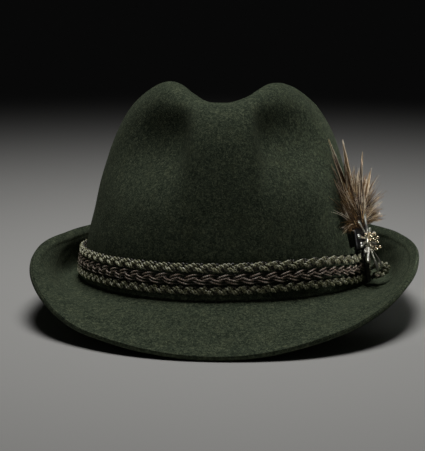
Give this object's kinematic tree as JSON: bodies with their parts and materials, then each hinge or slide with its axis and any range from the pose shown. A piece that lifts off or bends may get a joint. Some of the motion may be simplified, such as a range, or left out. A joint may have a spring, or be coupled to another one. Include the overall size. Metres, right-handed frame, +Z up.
{
  "type": "felt hat",
  "caption": "Felt hat with a creased, pinched crown, a brim turned up at the sides and back, a braided cord band, a plume and a flower pin.",
  "frame": {"origin": "middle of the bounding box, on the surface that the hat rests on", "axes": "+Z up, the front of the hat faces -Y, the wearer's left, with the plume and pin, is +X"},
  "size_m": [0.225, 0.2725, 0.1313],
  "materials": {
    "felt": "matte wool felt",
    "olive_cord": "braided cord",
    "brown_cord": "braided cord",
    "black_leather": "satin",
    "feather": "soft barbs",
    "silver": "polished cast metal, slightly gilt"
  },
  "bodies": {
    "root": {"felt_body": "felt", "lower_cord": "olive_cord", "middle_cord": "brown_cord", "upper_cord": "olive_cord", "cord_keeper": "black_leather", "plume_sleeve": "black_leather", "plume": "feather", "green_end_loop": "olive_cord", "brown_end_loop": "brown_cord", "flower_pin": "silver"}
  },
  "joints": []
}
